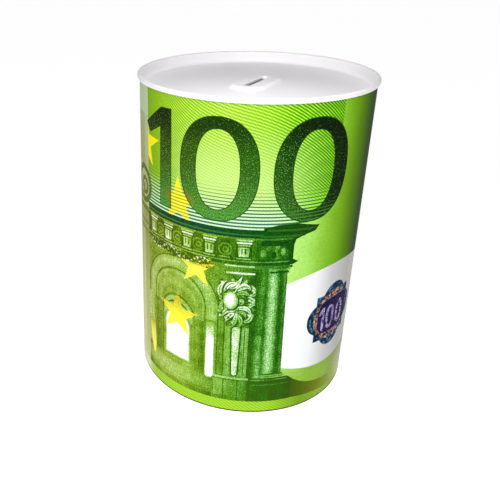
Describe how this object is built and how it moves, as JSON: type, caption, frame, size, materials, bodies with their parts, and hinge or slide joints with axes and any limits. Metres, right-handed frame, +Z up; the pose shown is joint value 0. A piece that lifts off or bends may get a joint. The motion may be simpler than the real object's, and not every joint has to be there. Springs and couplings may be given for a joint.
{
  "type": "tin money box",
  "caption": "Round sealed money tin: printed tube, white top end seamed on with an embossed coin slot, and a recessed base hemmed in.",
  "frame": {"origin": "centre of the standing plane, on the axis of the tube, under the hem that the tin rests on", "axes": "+Z up along the tube's axis, Y along the coin slot, X across the slot; the printed front faces between +X and -Y, 66 degrees clockwise from +X, and the welded side seam is at 204 degrees anticlockwise from +X, a quarter turn to the left of the printed front as seen from the front"},
  "size_m": [0.1528, 0.1528, 0.214],
  "materials": {
    "printed_tinplate": "glossy varnish over green print",
    "white_lacquer": "satin white lacquer",
    "bare_tinplate": "bare tinplate with a fine rolling grain",
    "sealing_compound": "matt grey sealing compound"
  },
  "bodies": {
    "root": {"body_shell": "printed_tinplate", "top_end": "white_lacquer", "bottom_end": "bare_tinplate", "seam_compound": "sealing_compound"}
  },
  "joints": []
}
